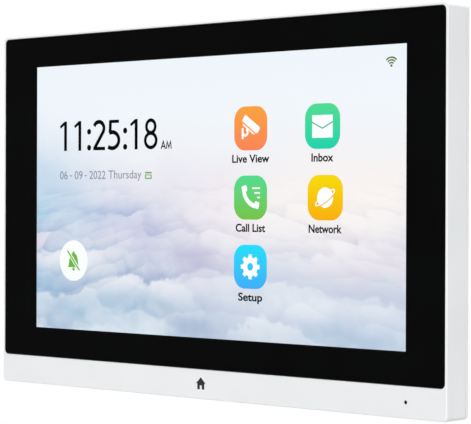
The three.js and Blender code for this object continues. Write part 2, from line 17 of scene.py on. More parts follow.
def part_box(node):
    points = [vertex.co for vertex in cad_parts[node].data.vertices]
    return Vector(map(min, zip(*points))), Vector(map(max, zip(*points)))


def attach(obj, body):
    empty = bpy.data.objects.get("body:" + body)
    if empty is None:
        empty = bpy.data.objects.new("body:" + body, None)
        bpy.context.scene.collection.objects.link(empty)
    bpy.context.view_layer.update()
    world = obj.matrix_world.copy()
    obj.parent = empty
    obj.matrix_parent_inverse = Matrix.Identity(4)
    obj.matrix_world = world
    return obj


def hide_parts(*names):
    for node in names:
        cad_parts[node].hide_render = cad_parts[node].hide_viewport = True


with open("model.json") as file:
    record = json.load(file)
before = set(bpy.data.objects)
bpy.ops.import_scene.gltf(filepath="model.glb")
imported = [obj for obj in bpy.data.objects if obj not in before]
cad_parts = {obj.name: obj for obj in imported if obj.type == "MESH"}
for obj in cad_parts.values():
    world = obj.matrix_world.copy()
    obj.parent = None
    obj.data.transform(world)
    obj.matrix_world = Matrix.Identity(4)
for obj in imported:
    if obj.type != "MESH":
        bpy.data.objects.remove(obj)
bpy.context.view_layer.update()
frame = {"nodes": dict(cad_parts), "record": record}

MM = 0.001


def span(node, axis):
    """A CAD node's lowest and highest place along an axis."""
    low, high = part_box(node)
    return low[axis] / MM, high[axis] / MM


def centre(node, axis):
    return sum(span(node, axis)) / 2


def around(middle, size):
    return middle - size / 2, middle + size / 2


def grow(pair, by):
    return pair[0] - by, pair[1] + by


# ---- sizes and places

BODY_X, BODY_Z = span("front_frame", 0), span("front_frame", 2)
FRONT_Y, SEAM_Y = span("front_frame", 1)
REAR_Y = span("rear_housing", 1)[1]
GLASS_X, GLASS_Y, GLASS_Z = (span("cover_glass", axis) for axis in range(3))
BRACKET_X, BRACKET_Y, BRACKET_Z = (span("wall_bracket", axis) for axis in range(3))
CELL_Y = span("lcd_cell", 1)
CHIN_Z = (BODY_Z[0] + GLASS_Z[0]) / 2
SCREEN_Z = centre("lcd_cell", 2)
ACTIVE_X, ACTIVE_Z = around(0, 222.72), around(SCREEN_Z, 125.28)

BODY_CORNER, FRONT_EDGE, REAR_EDGE = 1.8, 0.5, 1.2
GLASS_CORNER, GLASS_EDGE, GLASS_FIT = 2.2, 0.25, 0.1
WALL, SEAM_GAP, FINE_EDGE = 2.0, 0.16, 0.12
FRONT_INSIDE, REAR_INSIDE = FRONT_Y + WALL, REAR_Y - WALL
LEDGE = (-14.3, -13.0)
OPENING_GAP = 0.5
# The housing's lip inside the frame's walls.
LIP = Sizes(gap=0.1, corner=1.4, thick=1.5, inner_corner=0.6, reach=1.5, edge=0.2)
FLEX_NOTCH = Sizes(x=(-120.5, -117.5), z=(30, 42))

LIFT = 8
HOOK = Sizes(x=56, heights=(-36, 30), width=10, slot=11, finger=7, blank=10.5, gap=0.3, bend=0.9)
BRACKET_THICK, BRACKET_CORNER = 1.2, 4
CABLE_WINDOW = Sizes(x=(-24, 24), z=(-42, -13), corner=2)
WALL_SLOTS = Sizes(x=32, z=-27.5, width=9, height=4.2)
WALL_HOLES = Sizes(x=32, heights=(32, BRACKET_Z[0] + 6), radius=2.3)
ROUND_END = 0.01  # the least straight side that a slot keeps between its round ends

RECESS_X, RECESS_Z = grow(BRACKET_X, 2), (BRACKET_Z[0] - LIFT - 1, BRACKET_Z[1] + 1)
RECESS_Y, RECESS_FLOOR, RECESS_WALL, RECESS_CORNER = -1.5, 1.5, 1.5, 3
BAY = Sizes(x=(-35, 46), z=(-44, -12), floor=-9.7, wall=1.2, floor_wall=0.8, corner=1)
PORT_GAP, CARD_GAP = 0.3, 0.4
RESET_PORT = Sizes(width=3, y=(-4.9, -3.3))
VENTS = Sizes(count=21, pitch=4, width=1.8, rows=((-79, -68), (50, 64)))
SPEAKER_SLOTS = Sizes(count=9, pitch=3.4, width=1.6, y=(-11.4, -5.8), corner=0.75)

# Places of round parts, and for each part its radius, its y range and its number of sides.
POST_FOOT = REAR_INSIDE + 0.3
CASE_SCREWS = Sizes(
    x=124.3, heights=(-74.5, 75.8),
    boss=(3.2, (LEDGE[1] - 0.5, SEAM_Y - 0.3), 32), hole=(1.2, (-12, SEAM_Y + 1), 24),
    post=(4, (SEAM_Y - 0.2, POST_FOOT), 32), well=(3, (-2.2, 1), 40), bore=(1.7, (-6, -1), 24),
)
BOARD_SCREWS = Sizes(
    x=47, heights=(-7, 58.5), post=(2.6, (-4.95, POST_FOOT), 32), bore=(1.05, (-8, -2.3), 20),
)
LCD_RESTS = Sizes(x=95, heights=(-48, 48), post=(3, (-10.6, POST_FOOT), 32))
MICROPHONE = Sizes(
    place=(centre("microphone", 0), CHIN_Z), cup=(5.3, (FRONT_INSIDE - 0.5, -11.5), 32),
    bore=(4.1, (FRONT_INSIDE, -10), 32), hole=0.8, mouth=1.1,
)

# The camera stands to the right of the screen, level with it.
CAMERA = Sizes(
    azimuth=42.11, elevation=0.26, roll=0.19, distance=850,
    aim=(19.57, GLASS_Y[0], SCREEN_Z - 6.42), lens=148.6,
)


# ---- mesh helpers

Outline = namedtuple("Outline", "x z radius")


def spaced(middle, run):
    """Evenly spaced places on both sides of a middle."""
    return [middle + (index - (run.count - 1) / 2) * run.pitch for index in range(run.count)]


def rounded_rect(x, z, radius, steps=10):
    (left, right), (bottom, top) = grow(x, -radius), grow(z, -radius)
    corners = ((right, bottom, -90), (right, top, 0), (left, top, 90), (left, bottom, 180))
    return [point for across, up, start in corners
            for point in arc(across, up, (radius, radius), start, start + 90, steps)]


def polar(x, z, radii, angle):
    """The point of an ellipse at an angle in degrees."""
    turn = radians(angle)
    return x + radii[0] * cos(turn), z + radii[1] * sin(turn)


def arc(x, z, radii, start, end, steps=14):
    """Points on an ellipse between two angles in degrees."""
    return [polar(x, z, radii, start + (end - start) * step / steps) for step in range(steps + 1)]


def circle(x, z, radius, steps):
    return [polar(x, z, (radius, radius), 360 * step / steps) for step in range(steps)]


def inset(outline, by, radius):
    """An outline drawn in on all sides, with its own corner radius."""
    return Outline(grow(outline.x, -by), grow(outline.z, -by), radius)


def loop(outline, by, y):
    """The points of an outline at a depth, drawn in together with its corners."""
    smaller = inset(outline, by, max(outline.radius - by, 0.05))
    return [(x, y, z) for x, z in rounded_rect(*smaller)]


def round_loops(outline, y, radius, toward, steps=6):
    """Loops that turn from a flat face at y to the outline's side."""
    turns = [radians(90 * step / steps) for step in range(steps + 1)]
    return [
        loop(outline, radius * (1 - sin(turn)), y + toward * radius * (1 - cos(turn)))
        for turn in turns
    ]


def in_scene(name, data):
    """A new object in the scene that shows the data."""
    made = bpy.data.objects.new(name, data)
    bpy.context.scene.collection.objects.link(made)
    return made


@contextmanager
def opened(mesh):
    """A mesh's points and faces to edit, which are put back into it at the end."""
    sheet = bmesh.new()
    sheet.from_mesh(mesh)
    yield sheet
    sheet.to_mesh(mesh)
    sheet.free()


def new_mesh(name, points, faces):
    mesh = bpy.data.meshes.new(name)
    mesh.from_pydata([Vector(point) * MM for point in points], [], faces)
    return mesh


def mesh_object(name, points, faces):
    mesh = new_mesh(name, points, faces)
    with opened(mesh) as sheet:
        bmesh.ops.recalc_face_normals(sheet, faces=sheet.faces)
    return in_scene(name, mesh)


def skin(name, loops, closed=False):
    """A surface through equal loops of points. Closed joins the last loop to the first."""
    count = len(loops[0])
    faces = []
    for ring in range(len(loops) if closed else len(loops) - 1):
        here, there = ring * count, (ring + 1) % len(loops) * count
        for index in range(count):
            after = (index + 1) % count
            faces.append((here + index, here + after, there + after, there + index))
    if not closed:
        end = (len(loops) - 1) * count
        faces.append(tuple(range(count)))
        faces.append(tuple(end + index for index in reversed(range(count))))
    return mesh_object(name, [point for ring in loops for point in ring], faces)


def prism(points, y, name="cutter"):
    return skin(name, [[(x, depth, z) for x, z in points] for depth in y])


def block(x, y, z, radius=0.3):
    return prism(rounded_rect(x, z, radius, 3), y)


def rod(x, z, radius, y, steps=32):
    return prism(circle(x, z, radius, steps), y)


def upright(name, points, heights):
    """A prism that stands along Z on (x, y) points."""
    return skin(name, [[(x, y, height) for x, y in points] for height in heights])


def turned_bar(name, x, z, rings, steps):
    """A round bar along y with a radius and a y for each ring."""
    return skin(name, [[(a, y, b) for a, b in circle(x, z, radius, steps)] for radius, y in rings])


def pairs(places):
    """Left and right of each height."""
    return [(side * places.x, height) for side in (-1, 1) for height in places.heights]


def rods(places, part):
    return [rod(x, z, *part) for x, z in pairs(places)]


def settle(piece):
    """Keeps what the modifiers make of a piece as its mesh."""
    graph = bpy.context.evaluated_depsgraph_get()
    mesh = bpy.data.meshes.new_from_object(piece.evaluated_get(graph))
    piece.modifiers.clear()
    piece.data = mesh
    return piece


def joined(pieces, name="joined"):
    """One object in place of several."""
    mesh = bpy.data.meshes.new(name)
    with opened(mesh) as sheet:
        for piece in pieces:
            sheet.from_mesh(piece.data)
            bpy.data.objects.remove(piece)
    return in_scene(name, mesh)


def combine(piece, tools, operation):
    tool = joined(tools)
    change = piece.modifiers.new("combine", "BOOLEAN")
    change.operation, change.solver, change.object = operation, "EXACT", tool
    change.use_self = True
    settle(piece)
    bpy.data.objects.remove(tool)
    return piece


def cut(piece, tools):
    return combine(piece, tools, "DIFFERENCE")


def add(piece, tools):
    return combine(piece, tools, "UNION")


def soften(piece, width, angle=35):
    """Rounds the sharp edges of a piece."""
    with opened(piece.data) as sheet:
        bmesh.ops.remove_doubles(sheet, verts=sheet.verts, dist=0.0005 * MM)
        flat = radians(1)
        bmesh.ops.dissolve_limit(sheet, angle_limit=flat, verts=sheet.verts, edges=sheet.edges)
    change = piece.modifiers.new("edges", "BEVEL")
    change.width, change.segments = width * MM, 2
    change.limit_method, change.angle_limit = "ANGLE", radians(angle)
    change.use_clamp_overlap = True
    return settle(piece)


def smooth(piece, angle=32):
    """Shades a piece smooth, with its sharper edges kept."""
    piece.data.shade_smooth()
    piece.data.set_sharp_from_angle(angle=radians(angle))
    change = piece.modifiers.new("normals", "WEIGHTED_NORMAL")
    change.keep_sharp = True
    return settle(piece)


def dress(piece, slot, look=None, body="monitor", stands_for=()):
    """Gives a piece one material, the look given or else its slot's look, puts it on its body and hides the
    CAD nodes that it stands for.
    """
    piece.data.materials.clear()
    piece.data.materials.append(look or SLOT_LOOKS[slot])
    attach(piece, body)
    if stands_for:
        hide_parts(*stands_for)


# ---- material helpers

def linear(code):
    """The linear colour of a six-digit sRGB code."""
    parts = [int(code[index:index + 2], 16) / 255 for index in (0, 2, 4)]
    return (*(p / 12.92 if p <= 0.04045 else ((p + 0.055) / 1.055) ** 2.4 for p in parts), 1.0)


class Shader:
    """The node tree of a material, or of the world, with short calls to fill it."""

    def __init__(self, name, owners=bpy.data.materials, out="OutputMaterial"):
        self.owner = owners.new(name)
        self.owner.use_nodes = True
        self.tree = self.owner.node_tree
        self.tree.nodes.clear()
        self.out = self.node(out)

    def node(self, kind, inputs=(), **settings):
        made = self.tree.nodes.new("ShaderNode" + kind)
        for key, value in settings.items():
            setattr(made, key, value)
        for key, value in dict(inputs).items():
            self.feed(made.inputs[key], value)
        return made

    def socket(self, kind, inputs=(), output=0, **settings):
        """An output of a new node."""
        return self.node(kind, inputs, **settings).outputs[output]

    def feed(self, socket, value):
        if isinstance(value, bpy.types.NodeSocket):
            self.tree.links.new(value, socket)
        else:
            socket.default_value = value

    def math(self, operation, *values, clamp=False):
        return self.socket("Math", enumerate(values), operation=operation, use_clamp=clamp)

    def plus(self, first, second):
        return self.math("ADD", first, second)

    def minus(self, first, second):
        return self.math("SUBTRACT", first, second)

    def times(self, first, second):
        return self.math("MULTIPLY", first, second)

    def sway(self, noise, reach):
        """A noise value moved round zero and stretched to a reach."""
        return self.times(self.minus(noise, 0.5), reach)

    def place(self, scale=(1, 1, 1)):
        """The point on the object in millimetres, stretched by scale."""
        factors = tuple(part / MM for part in scale)
        whole = {0: self.socket("TexCoord", output="Object"), 1: factors}
        return self.socket("VectorMath", whole, operation="MULTIPLY")

    def noise(self, point, scale, detail=3, roughness=0.5):
        return self.socket("TexNoise", {
            "Vector": point, "Scale": scale, "Detail": detail, "Roughness": roughness,
        }, "Fac")

    def remap(self, value, start, end, low=0.0, high=1.0):
        """Moves a value from the range start to end into the range low to high."""
        return self.socket("MapRange", {
            "Value": value, "From Min": start, "From Max": end, "To Min": low, "To Max": high,
        })

    def spread(self, noise, low, high):
        """Moves the usual values of a noise into the range low to high."""
        return self.remap(noise, 0.3, 0.7, low, high)

    def mix(self, factor, first, second):
        return self.socket("Mix", {"Factor": factor, 6: first, 7: second}, 2, data_type="RGBA")

    def bump(self, height, depth):
        """A normal from a height, where depth is in millimetres."""
        return self.socket("Bump", {"Height": height, "Distance": depth * MM, "Strength": 1.0})

    def surface(self, socket):
        self.tree.links.new(socket, self.out.inputs["Surface"])
        return self.owner

    def light(self, colour):
        """The even light that the screen gives off."""
        return self.surface(self.socket("Emission", {"Color": colour, "Strength": 1.06}))

    def principled(self, **inputs):
        keys = {key.replace("_", " ").title().replace("Ior", "IOR"): value for key, value in inputs.items()}
        return self.surface(self.socket("BsdfPrincipled", keys))


def moulded_plastic(name, light, dark, roughness=0.45, grain=6.0, depth=0.004, shine=0.4):
    """Injection-moulded plastic with a fine spark-eroded grain."""
    shader = Shader(name)
    point = shader.place()
    cloud = shader.spread(shader.noise(point, 0.03, 2), 0, 1)
    fine = shader.noise(point, grain, 4, 0.6)
    return shader.principled(
        base_color=shader.mix(cloud, linear(light), linear(dark)),
        roughness=shader.spread(fine, roughness - 0.05, roughness + 0.05),
        specular_ior_level=shine,
        normal=shader.bump(fine, depth),
    )


def sheet_metal(name, light, dark, roughness=0.35, stretch=(0.15, 1, 3)):
    """Plated metal with faint drawing lines and a clouded shine."""
    shader = Shader(name)
    lines = shader.noise(shader.place(stretch), 3.0, 4, 0.7)
    cloud = shader.noise(shader.place(), 0.12, 3)
    blend = shader.spread(shader.plus(lines, shader.times(cloud, 0.5)), 0, 1)
    return shader.principled(
        base_color=shader.mix(shader.math("MULTIPLY", blend, 0.5, clamp=True), linear(light), linear(dark)),
        metallic=1.0,
        roughness=shader.spread(lines, roughness - 0.08, roughness + 0.1),
        normal=shader.bump(lines, 0.004),
    )


def circuit_board(name):
    """Green solder mask over copper lines and pads."""
    shader = Shader(name)
    point = shader.place()
    cells = shader.socket("TexVoronoi", {"Vector": point, "Scale": 0.35}, "Distance", distance="CHEBYCHEV")
    lines = shader.socket("TexBrick", {
        "Vector": shader.socket("Mapping", {"Vector": point, "Rotation": (pi / 2, 0, 0)}),
        "Scale": 0.45, "Mortar Size": 0.06, "Color1": (1, 1, 1, 1), "Color2": (1, 1, 1, 1),
        "Mortar": (0, 0, 0, 1),
    }, "Fac")
    tracks = shader.math("SUBTRACT", 1.0, lines, clamp=True)
    pads = shader.math("LESS_THAN", cells, 0.16)
    green = shader.mix(tracks, linear("1F6B45"), linear("14492F"))
    return shader.principled(
        base_color=shader.mix(shader.times(pads, 0.75), green, linear("C2A15A")),
        roughness=shader.spread(shader.noise(point, 0.8), 0.3, 0.45),
        normal=shader.bump(tracks, 0.02),
    )


def clear_pane(name, roughness, tint, gloss):
    """A clear sheet that mirrors a little on its outer side and bends nothing."""
    shader = Shader(name)
    fresnel = shader.socket("Fresnel", {"IOR": 1.5})
    front = shader.minus(1.0, shader.socket("NewGeometry", output="Backfacing"))
    amount = shader.times(shader.times(fresnel, front), gloss)
    smear = shader.noise(shader.place((1, 1, 0.4)), 0.05, 3)
    mirror = shader.socket("BsdfGlossy", {
        "Color": (1, 1, 1, 1), "Roughness": shader.spread(smear, roughness, roughness * 1.6),
    })
    through = shader.socket("BsdfTransparent", {"Color": tint})
    return shader.surface(shader.socket("MixShader", {0: amount, 1: through, 2: mirror}))


def screen_light(name):
    """Light of the drawn signs on the screen, in their own colours."""
    shader = Shader(name)
    return shader.light(shader.socket("VertexColor", output="Color", layer_name="tint"))


def printed_ink(name):
    """Matt ink in the colours of the drawn mark."""
    shader = Shader(name)
    tint = shader.socket("VertexColor", output="Color", layer_name="tint")
    grain = shader.noise(shader.place(), 8.0)
    return shader.principled(
        base_color=tint, roughness=shader.spread(grain, 0.5, 0.62), specular_ior_level=0.3,
    )


# The colours of the sky on the screen, by height above its middle.
SKY_STOPS = (
    (-62, "C9D6E4"), (-42, "CBD6E5"), (-26, "D6D9E7"), (-10, "DFDFEC"), (6, "E9E7F1"),
    (20, "F0F2F7"), (36, "F2F6FB"), (62, "EFF5FA"),
)
# Soft banks of colour in it: colour, middle, half width and half height.
CLOUD_BANKS = (
    ("C3DAEC", (-112, 6), 34, 22), ("C4D8EA", (-88, -4), 26, 12), ("F7F3F4", (62, 2), 62, 22),
    ("C6C8E2", (-40, -16), 22, 10), ("BDC9E3", (-66, -8), 20, 7), ("C2BEDA", (-8, -30), 13, 13),
    ("E3D6E6", (-112, -18), 9, 6), ("E9EDF4", (-84, -30), 24, 7), ("E4E7F0", (-34, -38), 30, 6),
    ("A9C6DE", (-72, -52), 30, 6), ("D3E1ED", (-52, -61), 34, 5), ("A3B8D3", (-8, -58), 14, 6),
    ("E2DAE6", (96, -28), 26, 9), ("B4C8DE", (84, -60), 30, 6), ("E2E8F1", (52, -48), 34, 7),
    ("D9DFEA", (22, -36), 20, 7), ("A8CDE5", (-114, -8), 16, 8), ("9FC4DF", (-114, -40), 18, 9),
    ("AAC4DA", (-42, -49), 26, 4), ("F0E8F0", (16, -6), 24, 16), ("F9F4F2", (60, -6), 44, 16),
    ("FBF4F1", (98, 0), 34, 16),
)


def sky_picture(name):
    """A pale sky with soft coloured clouds in its lower part."""
    shader = Shader(name)
    point = shader.place()
    parts = shader.node("SeparateXYZ", {0: point}).outputs
    across, up = parts["X"], shader.minus(parts["Z"], SCREEN_Z)
    noises = [shader.socket("TexNoise", {
        "Vector": point, "Scale": scale, "Detail": 3.0,
    }, "Color") for scale in (0.035, 0.11)]
    drift = [shader.node("SeparateXYZ", {0: noise}).outputs for noise in noises]
    for source, reach in zip(drift, (26, 9)):
        across = shader.plus(across, shader.sway(source["X"], reach))
        up = shader.plus(up, shader.sway(source["Y"], reach * 0.8))

    bottom, top = SKY_STOPS[0][0], SKY_STOPS[-1][0]
    ramp = shader.node("ValToRGB", {"Fac": shader.remap(up, bottom, top)})
    stops = ramp.color_ramp.elements
    while len(stops) < len(SKY_STOPS):
        stops.new(0.5)
    for stop, (height, colour) in zip(stops, SKY_STOPS):
        stop.position, stop.color = (height - bottom) / (top - bottom), linear(colour)
    picture = ramp.outputs["Color"]

    for colour, (x, z), width, tall in CLOUD_BANKS:
        aside = shader.math("DIVIDE", shader.minus(across, x), width)
        above = shader.math("DIVIDE", shader.minus(up, z), tall)
        away = shader.plus(shader.math("POWER", aside, 2.0), shader.math("POWER", above, 2.0))
        share = shader.math("EXPONENT", shader.times(away, -1.0))
        picture = shader.mix(shader.times(share, 0.85), picture, linear(colour))

    relief = shader.times(cloud_relief(shader, parts, drift), shader.remap(up, 10.0, -28.0))
    aside = shader.remap(across, -70.0, 30.0)
    weight = shader.minus(1.3, shader.times(aside, 0.8))
    under = shader.math("MAXIMUM", shader.times(relief, -1.0), 0.0)
    shade = shader.mix(aside, linear("8BAACF"), linear("A9A3CB"))
    picture = shader.mix(shader.times(under, weight), picture, shade)
    picture = shader.mix(shader.math("MAXIMUM", relief, 0.0), picture, linear("FBF9FC"))
    return shader.light(picture)


def cloud_relief(shader, parts, drift):
    """Pillows of cloud that grow toward the lower edge: above 0 on lit tops, below 0 under them."""
    horizon = SCREEN_Z + 24
    away = shader.math("MAXIMUM", shader.minus(horizon, parts["Z"]), 6.0)
    across = shader.math("DIVIDE", parts["X"], away)
    down = shader.math("LOGARITHM", away, e)
    total = None
    for size, share in ((1.0, 0.62), (2.3, 0.27)):
        wide, tall = (
            shader.times(shader.plus(value, shader.sway(drift[1][key], bend / size)), count * size)
            for value, key, bend, count in ((across, "X", 0.35, 1.7), (down, "Y", 0.22, 2.9))
        )
        cell = shader.node("TexVoronoi", {
            "Vector": shader.socket("CombineXYZ", {0: wide, 1: tall}),
            "Scale": 1.0, "Randomness": 0.9, "Smoothness": 0.2,
        }, voronoi_dimensions="2D", feature="SMOOTH_F1").outputs
        middle = shader.socket("SeparateXYZ", {0: cell["Position"]}, "Y")
        above = shader.minus(middle, tall)
        slope = shader.minus(above, shader.times(cell["Distance"], 0.55))
        part = shader.times(shader.plus(slope, 0.2), share)
        total = shader.plus(total, part) if total else part
    return total


# By slot: the material's name, light and dark colour, roughness, grain, depth of the grain and shine.
MOULDED = {
    "white_case": ("white_abs", "F2F4F5", "EEF0F1"),
    "white_film": ("white_film", "F1F1EE", "E6E6E2", 0.6, 2.0),
    "blank_label": ("label_paper", "E9E9E4", "DFDFD8", 0.8, 4.0, 0.01),
    "black_ink": ("printed_black", "050606", "030303", 0.8, 3.0, 0.001, 0.0),
    "tape": ("foam_tape", "1B1B1D", "101012", 0.85, 2.0, 0.03),
    "black_rubber": ("black_rubber", "1A1A1B", "111112", 0.75, 3.0, 0.01),
    "wire_jacket": ("wire_jacket", "1E1E20", "151517", 0.5, 2.0, 0.01),
    "black_chip": ("chip_epoxy", "1B1C1E", "141517", 0.55, 8.0, 0.006),
    "black_plastic": ("black_plastic", "19191A", "101011", 0.5, 5.0),
    "green_plastic": ("green_plastic", "2E8B4A", "247540", 0.45, 5.0),
    "thermal_pad": ("thermal_pad", "8FA6BF", "7D93AD", 0.8, 1.5, 0.03),
    "flex": ("amber_flex", "B9742B", "9C5F20", 0.4, 1.0, 0.01),
    "screen": ("dark_cell_glass", "0B0C0E", "070809", 0.2, 1.0, 0.0005),
}
SLOT_LOOKS = {slot: moulded_plastic(*recipe) for slot, recipe in MOULDED.items()}
SLOT_LOOKS.update({
    "bright_steel": sheet_metal("plated_steel", "C9CBCC", "9FA2A4"),
    "bracket_steel": sheet_metal("zinc_sheet", "BFC2C4", "A4A8AB", 0.5, (1, 1, 0.2)),
    "aluminium": sheet_metal("satin_aluminium", "D4D6D8", "B4B7BA", 0.4),
    "gold_foil": sheet_metal("gilt_foil", "D8B25E", "B98F3C", 0.3),
    "circuit_board": circuit_board("solder_mask"),
    "clear_film": clear_pane("clear_film", 0.1, (0.995, 0.997, 0.997, 1), 0.02),
    "cover_glass": clear_pane("cover_glass", 0.015, (0.995, 0.998, 0.998, 1), 0.9),
})


# ---- white case

BODY = Outline(BODY_X, BODY_Z, BODY_CORNER)
INNER = inset(BODY, WALL, BODY_CORNER / 2)
GLASS = Outline(GLASS_X, GLASS_Z, GLASS_CORNER)


def speaker_slots():
    """Slots through the underside of the frame."""
    outlines = [rounded_rect(around(x, SPEAKER_SLOTS.width), SPEAKER_SLOTS.y, SPEAKER_SLOTS.corner, 4)
                for x in spaced(centre("speaker_frame", 0), SPEAKER_SLOTS)]
    return [upright("slot", outline, (BODY_Z[0] - 1, BODY_Z[0] + WALL + 1)) for outline in outlines]


def microphone_hole():
    """A hole through the chin that widens at its front."""
    hole = MICROPHONE.hole
    rings = ((MICROPHONE.mouth, FRONT_Y - 0.2), (hole, FRONT_Y + 0.1), (hole, FRONT_INSIDE + 1))
    return turned_bar("microphone_hole", *MICROPHONE.place, rings, 40)


def build_front_frame():
    pocket = inset(GLASS, -GLASS_FIT, GLASS_CORNER)
    opening = inset(Outline(span("lcd_top_chassis", 0), span("lcd_top_chassis", 2), 0), -OPENING_GAP, 0.5)
    seam = SEAM_Y - SEAM_GAP / 2
    shell = skin("front_frame_shell", [
        loop(pocket, -FINE_EDGE, FRONT_Y),
        *round_loops(BODY, FRONT_Y, FRONT_EDGE, 1),
        loop(BODY, 0, seam - FINE_EDGE), loop(BODY, FINE_EDGE, seam),
        loop(INNER, 0, seam), loop(INNER, 0, LEDGE[1]),
        loop(opening, 0, LEDGE[1]), loop(opening, 0, LEDGE[0]),
        loop(pocket, 0, LEDGE[0]), loop(pocket, 0, FRONT_Y + FINE_EDGE),
    ], closed=True)
    chin_room = (INNER.z[0], GLASS_Z[0] - WALL)
    cut(shell, [
        block(INNER.x, (FRONT_INSIDE, LEDGE[1] + 0.5), chin_room, 0.8),
        block(FLEX_NOTCH.x, grow(LEDGE, 0.5), FLEX_NOTCH.z),
    ])
    cup = rod(*MICROPHONE.place, *MICROPHONE.cup)
    add(shell, [cup, *rods(CASE_SCREWS, CASE_SCREWS.boss)])
    cut(shell, [*speaker_slots(), microphone_hole()])
    bore = rod(*MICROPHONE.place, *MICROPHONE.bore)
    cut(shell, [bore, *rods(CASE_SCREWS, CASE_SCREWS.hole)])
    dress(smooth(shell), "white_case", stands_for=["front_frame"])


def bay_ports():
    """Ports in the bay's upper wall, for the jack, the header, the card and the reset button."""
    jack_x, header_x = grow(span("rj45_jack", 0), PORT_GAP), grow(span("terminal_header", 0), PORT_GAP)
    card_x, card_y = grow(span("memory_card", 0), CARD_GAP), grow(span("memory_card", 1), PORT_GAP)
    header_y = (BAY.floor, span("terminal_header", 1)[1] + 0.1)
    through = (BAY.z[1] - 1, BAY.z[1] + BAY.wall + 1)
    return [
        block(jack_x, (BAY.floor, 1), (BAY.z[1] - 0.5, span("rj45_jack", 2)[1] + PORT_GAP)),
        block(header_x, header_y, through),
        block(card_x, card_y, through, 0.1),
        block(around(centre("reset_button", 0), RESET_PORT.width), RESET_PORT.y, through, 0.1),
    ]


def vent_slots():
    radius = VENTS.width / 2 - ROUND_END
    return [
        prism(rounded_rect(around(x, VENTS.width), heights, radius, 5), (REAR_INSIDE - 1, 0))
        for x in spaced(0, VENTS) for heights in VENTS.rows
    ]


def hook_slots():
    """Slots that the hooks pass through, tall enough for the lift."""
    y, drop = (RECESS_Y - 2, RECESS_Y + 1), BRACKET_THICK + LIFT + HOOK.gap
    return [block(around(x, HOOK.slot), y, (height - drop, height + HOOK.gap), 0.5)
            for x, height in pairs(HOOK)]


def build_rear_housing():
    lip = inset(INNER, LIP.gap, LIP.corner)
    inside = inset(lip, LIP.thick, LIP.inner_corner)
    tip, seam = SEAM_Y - LIP.reach, SEAM_Y + SEAM_GAP / 2
    shell = skin("rear_housing_shell", [
        loop(inside, 0, REAR_INSIDE), loop(inside, 0, tip),
        loop(lip, LIP.edge, tip), loop(lip, 0, tip + LIP.edge), loop(lip, 0, seam),
        loop(BODY, FINE_EDGE, seam), loop(BODY, 0, seam + FINE_EDGE),
        *reversed(round_loops(BODY, REAR_Y, REAR_EDGE, -1, 8)),
    ])
    floor_y = (RECESS_Y - RECESS_FLOOR, REAR_INSIDE + 0.5)
    bay_y = (BAY.floor - BAY.floor_wall, REAR_INSIDE + 0.4)
    add(shell, [block(grow(RECESS_X, RECESS_WALL), floor_y, grow(RECESS_Z, RECESS_WALL), RECESS_CORNER)])
    add(shell, [block(grow(BAY.x, BAY.wall), bay_y, grow(BAY.z, BAY.wall), BAY.corner)])
    posts = [rods(places, places.post) for places in (BOARD_SCREWS, CASE_SCREWS, LCD_RESTS)]
    add(shell, sum(posts, []))
    cut(shell, [block(RECESS_X, (RECESS_Y, 1), RECESS_Z, RECESS_CORNER)])
    cut(shell, [block(BAY.x, (BAY.floor, 1), BAY.z, BAY.corner)])
    cut(shell, bay_ports())
    cut(shell, vent_slots())
    cut(shell, [*rods(CASE_SCREWS, CASE_SCREWS.well), *hook_slots()])
    cut(shell, [*rods(CASE_SCREWS, CASE_SCREWS.bore), *rods(BOARD_SCREWS, BOARD_SCREWS.bore)])
    soften(shell, 0.2, 40)
    dress(smooth(shell), "white_case", stands_for=["rear_housing"])


# ---- steel bracket

def strip_loops(path, thick, x):
    """The two outlines of a strip that follows (y, z) points, at its left and right edge."""
    line = [Vector(point) for point in path]
    sides = ([], [])
    for index, point in enumerate(line):
        along = (line[min(index + 1, len(line) - 1)] - line[max(index - 1, 0)]).normalized()
        across = Vector((-along.y, along.x)) * thick / 2
        sides[0].append(point + across)
        sides[1].append(point - across)
    outline = sides[0] + sides[1][::-1]
    return [[(edge, y, z) for y, z in outline] for edge in x]


def hook_path(height):
    """The middle line of a hook: out of the plate, then up behind the housing's wall."""
    tab, finger, bend = height - BRACKET_THICK / 2, BRACKET_Y[0] + BRACKET_THICK / 2, HOOK.bend
    turn = arc(finger + bend, tab + bend, (bend, bend), 270, 180, 6)
    return [(-BRACKET_THICK / 2, tab), *turn, (finger, height + HOOK.finger)]


def build_bracket():
    outline = rounded_rect(BRACKET_X, BRACKET_Z, BRACKET_CORNER)
    plate = prism(outline, (-BRACKET_THICK, 0), "wall_bracket_sheet")
    through = (-2, 1)
    window = rounded_rect(CABLE_WINDOW.x, CABLE_WINDOW.z, CABLE_WINDOW.corner, 6)
    cuts = [prism(window, through)]
    slot_z = around(WALL_SLOTS.z, WALL_SLOTS.height)
    radius = WALL_SLOTS.height / 2 - ROUND_END
    for side in (-1, 1):
        slot_x = around(side * WALL_SLOTS.x, WALL_SLOTS.width)
        cuts.append(prism(rounded_rect(slot_x, slot_z, radius), through))
    cuts += [rod(x, height, WALL_HOLES.radius, through) for x, height in pairs(WALL_HOLES)]
    hooks = []
    for x, height in pairs(HOOK):
        cuts.append(block(around(x, HOOK.slot), through, (height + 0.01, height + HOOK.blank), 0.6))
        hooks.append(skin("hook", strip_loops(hook_path(height), BRACKET_THICK, around(x, HOOK.width))))
    add(cut(plate, cuts), hooks)
    soften(plate, 0.15, 40)
    dress(smooth(plate), "bracket_steel", body="wall_bracket", stands_for=["wall_bracket"])


# ---- glass and screen

